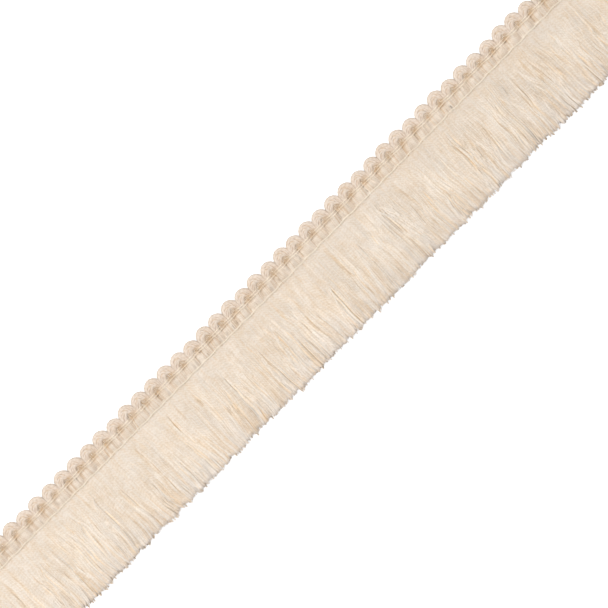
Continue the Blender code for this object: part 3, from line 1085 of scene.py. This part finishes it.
def press_together(lines, route, yarn_radius):
    """Flatten the loops where they press against their neighbours."""
    centre = -END + (np.floor((route[:, 0] + END) / LOOP_PITCH) + 0.5) * LOOP_PITCH
    room = LOOP_PITCH / 2 - PRESSED_ROOM * yarn_radius
    pressed = centre + np.clip(lines[..., 0] - centre, -room, room)
    in_loop = route[:, 1] > PRESSED_ABOVE_Y
    lines[..., 0] = np.where(in_loop, pressed, lines[..., 0])
    return lines


def near_eye(points):
    """How near points of the cord or the bindings are to a loop's eye, for painted shade: 1 in it, and 0 well
    away.
    """
    level = 1 - ease(EYE_TOP_Y, EYE_TOP_Y + EYE_PAINTED_SHADE_RUN, points[..., 1])
    return np.exp(-((beside_eye(points[..., 0]) / EYE_REACH) ** 2)) * level


def hump_of(x):
    """Height of the front over the cord's held turns: 1 over most of each hump and 0 in the grooves."""
    place = ((x + GROOVE_SHIFT + END) / LOOP_PITCH) % 1.0
    from_groove = np.abs(place - 0.5)
    return 1 - (1 - from_groove / 0.5) ** HUMP_BREADTH


def front_lines():
    """Lines of the fringe threads that pass over the cord, from under the lower binding to the upper ones."""
    rng = np.random.default_rng(FRONT_SEED)
    in_row = int(2 * LAST_YARN / FRONT_PITCH)
    count = 2 * in_row
    lower_row = np.arange(count) // in_row
    x = -LAST_YARN + (np.arange(count) % in_row + 0.5 + 0.5 * lower_row) * FRONT_PITCH
    x = x + rng.uniform(-FRONT_SCATTER, FRONT_SCATTER, count) * FRONT_PITCH
    y, z, humped = np.array(FRONT_RINGS).T[:, None]
    share = np.linspace(0.0, 1.0, len(FRONT_RINGS))[None, :]
    knots = np.linspace(-END, END, 2 * LOOP_COUNT + 1)
    lean = np.interp(x, knots, rng.normal(0.0, FRONT_LEAN, len(knots)))
    lean = lean + rng.normal(0.0, FRONT_THREAD_LEAN, count)
    lean = lean + (rng.random(count) < CROSSING_SHARE) * rng.normal(0.0, CROSSING_LEAN, count)
    line_x = x[:, None] + (lean[:, None] * (share - 0.5) - FRONT_ALL_LEAN * (1 - share)) * MM
    in_groove = (1 - hump_of(x))[:, None]
    uneven = rng.normal(0.0, FRONT_HEIGHTS, count)[:, None] * humped * MM
    recess = np.exp(-((beside_eye(x)[:, None] / EYE_HALF_WIDTH) ** 2)) * ease(*EYE_SINK_FROM, y)
    line_z = z * MM - in_groove * humped * HUMP_SINK + uneven
    line_z = line_z - lower_row[:, None] * FRONT_ROW_DROP - EYE_SINK * recess
    line_y = y * MM + rng.normal(0.0, FRONT_PLACES, count)[:, None] * MM
    line_x = np.clip(line_x, -END - FRONT_PAST_END, END + FRONT_PAST_END)
    radii = FRONT_RADIUS * each(rng, count, *FRONT_RADII) * np.ones_like(line_x)
    # Random tone of each thread, and painted shade on the lower row, in the grooves and in the recesses of
    # the eyes
    shades = (FRONT_TONE + FRONT_THREAD_TONE * rng.normal(size=count) + FRONT_LOWER_ROW_PAINTED_SHADE * lower_row)[:, None]
    shades = shades + FRONT_GROOVE_PAINTED_SHADE * in_groove + EYE_PAINTED_SHADE * recess
    return points_at(line_x, line_y, line_z), radii, shades.clip(0.0, 2.0)


def plied(route, radius):
    """Two plies that twist round each other along a route."""
    side, lift = frames_along(route[None], UP)
    lines = []
    for ply in range(2):
        angle = TURN * run_of(route) / PLY_PITCH + math.pi * ply
        offset = np.cos(angle)[:, None] * side[0] + np.sin(angle)[:, None] * lift[0]
        lines.append(route + PLY_PLACE * radius * offset)
    return np.array(lines), np.full((2, len(route)), radius)


def binding_route(kind, y):
    """Route of a binding thread across the heading."""
    x = np.linspace(-LAST_YARN, LAST_YARN, BINDING_RINGS)
    place = ((x + END) / LOOP_PITCH) % 1.0
    if kind is UPPER:
        # Each upper thread waves at places of its own, set by its y
        with_loops, slowly = np.sin(TURN * place + 900 * y), np.sin(x / (3 * MM) + 500 * y)
    else:
        with_loops, slowly = np.cos(TURN * place), np.sin(TURN * x / SLOW_WAVE)
    line_y = y + kind.with_loops * with_loops + kind.slowly * slowly
    line_z = kind.height - kind.dip * np.exp(-((np.abs(place - 0.5) / kind.dip_width) ** 2))
    return points_at(x, line_y, line_z)


def back_lines():
    """Wefts and warps of the root strip behind the cord."""
    rng = np.random.default_rng(BACK_SEED)
    depth = BACK_HIGH_Y - BACK_LOW_Y
    weft = np.arange(BACK_WEFTS)
    x = -LAST_YARN + (weft + 0.5) * 2 * LAST_YARN / BACK_WEFTS
    share = np.linspace(0.0, 1.0, 2 * BACK_WARPS + 3)[None, :]
    in_eye = np.exp(-((beside_eye(x)[:, None] / EYE_FILL_HALF_WIDTH) ** 4))
    line_y = BACK_LOW_Y + (depth + EYE_FILL_REACH * in_eye) * share
    over = np.where(weft % 2, WEAVE_HEIGHT, -WEAVE_HEIGHT)[:, None]
    rise = in_eye * ease(*EYE_FILL_FROM, line_y)
    line_z = BACK_Z + over * np.sin(math.pi * share * (BACK_WARPS + 1)) + EYE_FILL * rise
    line_x = x[:, None] + rng.normal(0.0, WEFT_SCATTER, (BACK_WEFTS, 1)) * MM
    # Random tone of each weft, and painted shade where the strip rises into the eyes
    shades = each(rng, BACK_WEFTS, *WEFT_SHADES) + EYE_FILL_PAINTED_SHADE * rise
    warp_x = np.linspace(-LAST_WARP, LAST_WARP, WARP_RINGS)
    warps = []
    for warp in range(BACK_WARPS):
        y = BACK_LOW_Y + depth * (warp + 1) / (BACK_WARPS + 1)
        wave = WARP_WAVE * np.sin(TURN * warp_x / WARP_WAVE_LENGTH + warp)
        warps.append(points_at(warp_x, y + wave, BACK_Z))
    lines = points_at(line_x, line_y, line_z)
    return lines, np.full(line_y.shape, WEFT_RADIUS), shades.clip(0.0, 1.0), np.array(warps)


# Materials


def set_inputs(tree, node, inputs):
    """Link each named input of a node to a socket, or give it a value."""
    for name, value in inputs.items():
        if isinstance(value, bpy.types.NodeSocket):
            tree.links.new(value, node.inputs[name])
        else:
            node.inputs[name].default_value = value


def add_node(tree, kind, inputs=None, **settings):
    """Add a node with its settings and inputs, and hand back its outputs."""
    node = tree.nodes.new(kind)
    for name, value in settings.items():
        setattr(node, name, value)
    set_inputs(tree, node, inputs or {})
    return node.outputs


def math_node(tree, operation, *values):
    """One sum on values or sockets."""
    return add_node(tree, "ShaderNodeMath", dict(enumerate(values)), operation=operation)[0]


def vector_node(tree, operation, inputs):
    """One sum on vectors or colours."""
    return add_node(tree, "ShaderNodeVectorMath", inputs, operation=operation)[0]


def noise_node(tree, place, scale, detail, **settings):
    """Soft unevenness about a half."""
    inputs = {"Vector": place, "Scale": scale, "Detail": detail}
    return add_node(tree, "ShaderNodeTexNoise", inputs, **settings)["Fac"]


def mix_node(tree, kind, factor, first, second):
    """A number, vector or colour between two others."""
    inputs = {"Factor": factor, "A": first, "B": second}
    return add_node(tree, "ShaderNodeMix", inputs, data_type=kind)["Result"]


def attribute_node(tree, name):
    """A number that each point of the piece keeps."""
    return add_node(tree, "ShaderNodeAttribute", attribute_name=name)["Fac"]


def new_group(name, inputs, output, kind):
    """An empty shader node group with named inputs and one output."""
    group = bpy.data.node_groups.new(name, "ShaderNodeTree")
    for label, input_kind, value in inputs:
        socket = group.interface.new_socket(label, in_out="INPUT", socket_type=f"NodeSocket{input_kind}")
        if value is not None:
            socket.default_value = value
    group.interface.new_socket(output, in_out="OUTPUT", socket_type=f"NodeSocket{kind}")
    return group, add_node(group, "NodeGroupInput"), group.nodes.new("NodeGroupOutput")


def twist_group():
    """Relief of a spun thread: the slanting lines of its twist, finer fibres along them, and nubs."""
    if "spun_relief" in bpy.data.node_groups:
        return bpy.data.node_groups["spun_relief"]
    inputs = (
        ("Thread Map", "Vector", None),
        ("Place", "Vector", None),
        ("Twist Length", "Float", 1.2),
        ("Twists Round", "Float", 1.0),
        ("Fibre Share", "Float", 0.4),
        ("Nub Share", "Float", 0.55),
    )
    group, given, leave = new_group("spun_relief", inputs, "Height", "Float")
    round_it, down_it, _ = add_node(group, "ShaderNodeSeparateXYZ", {0: given["Thread Map"]})
    across = math_node(group, "MULTIPLY", round_it, given["Twists Round"])
    along = math_node(group, "DIVIDE", down_it, given["Twist Length"])
    turns = math_node(group, "ADD", across, along)
    wave = math_node(group, "SINE", math_node(group, "MULTIPLY", turns, TURN))
    plies = math_node(group, "MULTIPLY_ADD", wave, 0.5, 0.5)
    slanted = {
        0: math_node(group, "MULTIPLY", turns, FIBRES_IN_TWIST),
        1: math_node(group, "MULTIPLY", down_it, FIBRES_IN_MM),
    }
    slanted = add_node(group, "ShaderNodeCombineXYZ", slanted)[0]
    fibres = noise_node(group, slanted, 1.0, 2.0, noise_dimensions="2D")
    spun = mix_node(group, "FLOAT", given["Fibre Share"], plies, fibres)
    spaced = vector_node(group, "MULTIPLY", {0: given["Place"], 1: NUBS_PER_METRE})
    nubs = noise_node(group, spaced, 1.0, 1.0)
    set_inputs(group, leave, {"Height": mix_node(group, "FLOAT", given["Nub Share"], spun, nubs)})
    return group


def tone_group():
    """Tone of cream cotton: each point's own tone and painted shade, slow unevenness of the batch, and
    painted shade in its grooves.
    """
    if "cotton_tone" in bpy.data.node_groups:
        return bpy.data.node_groups["cotton_tone"]
    inputs = (
        ("Place", "Vector", None),
        ("Shade", "Float", 0.5),
        ("Grooves", "Float", 0.5),
        ("Clean Colour", "Color", (0.9, 0.8, 0.7, 1.0)),
        ("Deep Colour", "Color", (0.8, 0.66, 0.5, 1.0)),
        ("Shade Strength", "Float", 0.5),
        ("Uneven Size", "Float", 120.0),
    )
    group, given, leave = new_group("cotton_tone", inputs, "Colour", "Color")
    uneven = noise_node(group, given["Place"], given["Uneven Size"], 3.0)
    from_batch = math_node(group, "MULTIPLY_ADD", uneven, BATCH_TONE, -BATCH_TONE / 2)
    from_groove = math_node(group, "MULTIPLY_ADD", given["Grooves"], -GROOVE_TONE, GROOVE_TONE / 2)
    total = math_node(group, "ADD", math_node(group, "ADD", given["Shade"], from_batch), from_groove)
    weight = math_node(group, "MULTIPLY", total, given["Shade Strength"])
    held = add_node(group, "ShaderNodeClamp", {"Value": weight})[0]
    mixed = mix_node(group, "RGBA", held, given["Clean Colour"], given["Deep Colour"])
    lit = math_node(group, "MULTIPLY_ADD", given["Grooves"], GROOVE_SHADE, 1 - GROOVE_SHADE)
    set_inputs(group, leave, {"Colour": vector_node(group, "SCALE", {0: mixed, "Scale": lit})})
    return group


def darkening_share(tree):
    """Share of the darker colour, most of it painted shade, at each place along a brush thread."""
    along = attribute_node(tree, "along")
    total = 0.0
    for start, finish, most in TIP_AND_ROOT_DARKENING:
        inputs = {"Value": along, "From Min": start, "From Max": finish, "To Max": most}
        darkening = add_node(tree, "ShaderNodeMapRange", inputs, interpolation_type="SMOOTHSTEP")
        total = math_node(tree, "ADD", total, darkening["Result"])
    return total


def new_material(name):
    """A material with its node tree and its shader."""
    material = bpy.data.materials.new(name)
    material.use_nodes = True
    return material, material.node_tree, material.node_tree.nodes["Principled BSDF"]


def yarn_material(name, clean, tips=None):
    """A cotton yarn: matt, softly uneven in tone, with the relief of its twist and painted shade in its
    hollows.
    """
    look = LOOKS[name]
    material, tree, shader = new_material(name)
    place = add_node(tree, "ShaderNodeTexCoord")["Object"]
    spun = {
        "Thread Map": add_node(tree, "ShaderNodeUVMap", uv_map="thread_uv")[0],
        "Place": place,
        "Twist Length": look.twist,
    }
    relief = add_node(tree, "ShaderNodeGroup", spun, node_tree=twist_group())["Height"]
    tone = {
        "Place": place,
        "Shade": attribute_node(tree, "shade"),
        "Grooves": relief,
        "Clean Colour": clean,
        "Deep Colour": [part * share for part, share in zip(clean, look.deep)],
        "Shade Strength": look.strength,
    }
    colour = add_node(tree, "ShaderNodeGroup", tone, node_tree=tone_group())["Colour"]
    if tips is not None:
        colour = mix_node(tree, "RGBA", darkening_share(tree), colour, tips)
    form = add_node(tree, "ShaderNodeNewGeometry")
    softer = mix_node(tree, "VECTOR", look.roundness, form["True Normal"], form["Normal"])
    level = vector_node(tree, "NORMALIZE", {0: softer})
    bump = {"Strength": RELIEF_STRENGTH, "Distance": look.relief, "Height": relief, "Normal": level}
    finish = {
        "Base Color": colour,
        "Normal": add_node(tree, "ShaderNodeBump", bump)["Normal"],
        "Roughness": COTTON_ROUGHNESS,
        "Specular IOR Level": COTTON_GLOSS,
    }
    set_inputs(tree, shader, finish)
    return material


# Steps


class FRINGE_OT_brush(bpy.types.Operator):
    """Lay the threads of the brush, in three layers"""

    bl_idname = "fringe.brush"
    bl_label = "Brush"

    def execute(self, context):
        sizes, colours = context.scene.fringe_sizes, context.scene.fringe_colours
        face = yarn_material("brush_yarn_look", colours.brush, colours.cut_tips)
        # The layers under the face take the colour with painted shade
        inner = yarn_material("brush_inner_shade_look", colours.brush_inner_shade, colours.cut_tips)
        for layer in BRUSH_LAYERS:
            lines, thick, shades = brush_lines(layer)
            radii = thick * layer.thick * sizes.brush_radius
            piece = lay_threads(layer.name, lines, radii, shades, THREAD_SIDES)
            material = face if layer is BRUSH_LAYERS[-1] else inner
            hand_over(piece, material, "brush_skirt")
        piece = lay_threads("brush_fuzz", *fuzz_lines(), THREAD_SIDES)
        hand_over(piece, face, "brush_skirt")
        return {"FINISHED"}


class FRINGE_OT_heading_back(bpy.types.Operator):
    """Weave the root strip behind the cord"""

    bl_idname = "fringe.heading_back"
    bl_label = "Root strip"

    def execute(self, context):
        lines, radii, shades, warps = back_lines()
        wefts = lay_threads("heading_back", lines, radii, shades, THREAD_SIDES, bake_part=WEFT_MAP)
        radii, shades = np.full(warps.shape[:2], WARP_RADIUS), np.full(len(warps), WARP_SHADE)
        crossing = ("back_warps", warps, radii, shades, FINE_SIDES)
        cross = lay_threads(*crossing, strip=WARP_STRIP, bake_part=WARP_MAP)
        material = yarn_material("back_yarn_look", context.scene.fringe_colours.front)
        hand_over(join_into(wefts, cross), material, "brush_skirt")
        return {"FINISHED"}


class FRINGE_OT_scallop_cord(bpy.types.Operator):
    """Lay the yarns of the scalloped cord"""

    bl_idname = "fringe.scallop_cord"
    bl_label = "Scalloped cord"

    def execute(self, context):
        sizes = context.scene.fringe_sizes
        lines, radii, core_line, core_radii = cord_lines(sizes.cord_yarns, sizes.cord_yarn_radius)
        rng = np.random.default_rng(CORD_SHADE_SEED)
        # Random tone of each yarn, and painted shade near the eyes of the loops
        shades = each(rng, len(lines), *CORD_SHADES) + EYE_PAINTED_SHADE * near_eye(lines)
        outer = ("scallop_cord_yarns", lines, radii, shades, CORD_SIDES)
        inner = ("cord_core", core_line, core_radii, np.array([CORE_PAINTED_SHADE]), CORE_SIDES)
        yarns = lay_threads(*outer, strip=RINGS_IN_LOOP, bake_part=YARN_MAP)
        core = lay_threads(*inner, strip=RINGS_IN_LOOP, bake_part=CORE_MAP)
        material = yarn_material("cord_yarn_look", context.scene.fringe_colours.cord)
        hand_over(join_into(yarns, core), material, "scallop_cord")
        return {"FINISHED"}


class FRINGE_OT_heading_front(bpy.types.Operator):
    """Lay the fringe threads over the cord"""

    bl_idname = "fringe.heading_front"
    bl_label = "Front of the heading"

    def execute(self, context):
        piece = lay_threads("heading_front_threads", *front_lines(), THREAD_SIDES, reference=ALONG_TRIM)
        material = yarn_material("front_yarn_look", context.scene.fringe_colours.front)
        hand_over(piece, material, "heading_front")
        return {"FINISHED"}


class FRINGE_OT_bindings(bpy.types.Operator):
    """Lay the three binding threads"""

    bl_idname = "fringe.bindings"
    bl_label = "Binding threads"

    def execute(self, context):
        radius = context.scene.fringe_sizes.binding_radius
        material = yarn_material("binding_thread_look", context.scene.fringe_colours.binding)
        for node, (kind, y) in BINDINGS.items():
            upper = kind is UPPER
            lines, radii = plied(binding_route(kind, y), radius if upper else LOWER_THICKER * radius)
            # Painted shade on the upper binding threads near the eyes of the loops
            shades = np.array(PLY_SHADES)[:, None] + EYE_PAINTED_SHADE * near_eye(lines) * upper
            piece = lay_threads(f"{node}_thread", lines, radii, shades, FINE_SIDES, strip=BINDING_STRIP)
            hand_over(piece, material, node)
        return {"FINISHED"}


class FRINGE_OT_stage(bpy.types.Operator):
    """Add the pale floor, the soft light and the camera"""

    bl_idname = "fringe.stage"
    bl_label = "Floor, light and camera"

    def execute(self, context):
        add_floor(context.scene.fringe_colours.floor)
        add_light()
        add_camera()
        context.scene.view_settings.view_transform = "Standard"
        return {"FINISHED"}


def add_floor(colour):
    """A wide plain floor just under the trim."""
    deselect_all()
    bpy.ops.mesh.primitive_plane_add(size=FLOOR_SIZE, location=(0.0, 0.0, 0.0))
    floor = bpy.context.active_object
    floor.name = "floor"
    material, tree, shader = new_material("floor_pale")
    seen = add_node(tree, "ShaderNodeLightPath")["Is Camera Ray"]
    finish = {
        "Base Color": colour,
        "Roughness": FLOOR_ROUGHNESS,
        "Specular IOR Level": FLOOR_GLOSS,
        "Emission Color": WHITE,
        "Emission Strength": math_node(tree, "MULTIPLY", seen, FLOOR_GLOW),
    }
    set_inputs(tree, shader, finish)
    floor.data.materials.append(material)


def add_light():
    """An even white surround, and one large soft light from the left of the scalloped side."""
    world = bpy.data.worlds.new("white_surround")
    world.use_nodes = True
    backdrop = world.node_tree.nodes["Background"]
    set_inputs(world.node_tree, backdrop, {"Color": WHITE, "Strength": SURROUND_STRENGTH})
    bpy.context.scene.world = world
    deselect_all()
    place = Vector(LAMP_PLACE)
    towards = (-place).to_track_quat("-Z", "Y").to_euler()
    bpy.ops.object.light_add(type="AREA", location=place, rotation=towards)
    lamp = bpy.context.active_object
    lamp.name = "soft_light"
    lamp.data.shape = "SQUARE"
    lamp.data.size = LAMP_SIZE
    lamp.data.energy = LAMP_POWER


def add_camera():
    """The camera, straight above, with a long lens."""
    deselect_all()
    place = (CAMERA_CENTRE_X, 0.0, CAMERA_HEIGHT)
    bpy.ops.object.camera_add(location=place, rotation=(0.0, 0.0, -TRIM_ANGLE))
    camera = bpy.context.active_object
    camera.name = "camera"
    camera.data.sensor_width = SENSOR
    camera.data.lens = SENSOR * CAMERA_HEIGHT / PICTURE_ACROSS
    camera.data.clip_end = FARTHEST_SEEN
    bpy.context.scene.camera = camera


class FRINGE_PT_panel(bpy.types.Panel):
    """Lists the steps that lay the fringe."""

    bl_idname = "FRINGE_PT_panel"
    bl_label = "Brush fringe"
    bl_space_type = "VIEW_3D"
    bl_region_type = "UI"
    bl_category = "Fringe"

    def draw(self, context):
        layout = self.layout
        for group in (context.scene.fringe_sizes, context.scene.fringe_colours):
            box = layout.box()
            for name in group.__annotations__:
                box.prop(group, name)
        for step in STEPS:
            layout.operator(step.bl_idname)


STEPS = (
    FRINGE_OT_brush,
    FRINGE_OT_heading_back,
    FRINGE_OT_scallop_cord,
    FRINGE_OT_heading_front,
    FRINGE_OT_bindings,
    FRINGE_OT_stage,
)
CLASSES = (FringeSizes, FringeColours, *STEPS, FRINGE_PT_panel)


def register():
    """Make the steps, the sizes and the colours known to Blender."""
    for item in CLASSES:
        bpy.utils.register_class(item)
    bpy.types.Scene.fringe_sizes = PointerProperty(type=FringeSizes)
    bpy.types.Scene.fringe_colours = PointerProperty(type=FringeColours)


def unregister():
    """Take them out again."""
    del bpy.types.Scene.fringe_colours
    del bpy.types.Scene.fringe_sizes
    for item in reversed(CLASSES):
        bpy.utils.unregister_class(item)


def main():
    """Lay every piece in order."""
    register()
    bpy.ops.fringe.brush()
    bpy.ops.fringe.heading_back()
    bpy.ops.fringe.scallop_cord()
    bpy.ops.fringe.heading_front()
    bpy.ops.fringe.bindings()
    bpy.ops.fringe.stage()


if __name__ == "__main__":
    main()
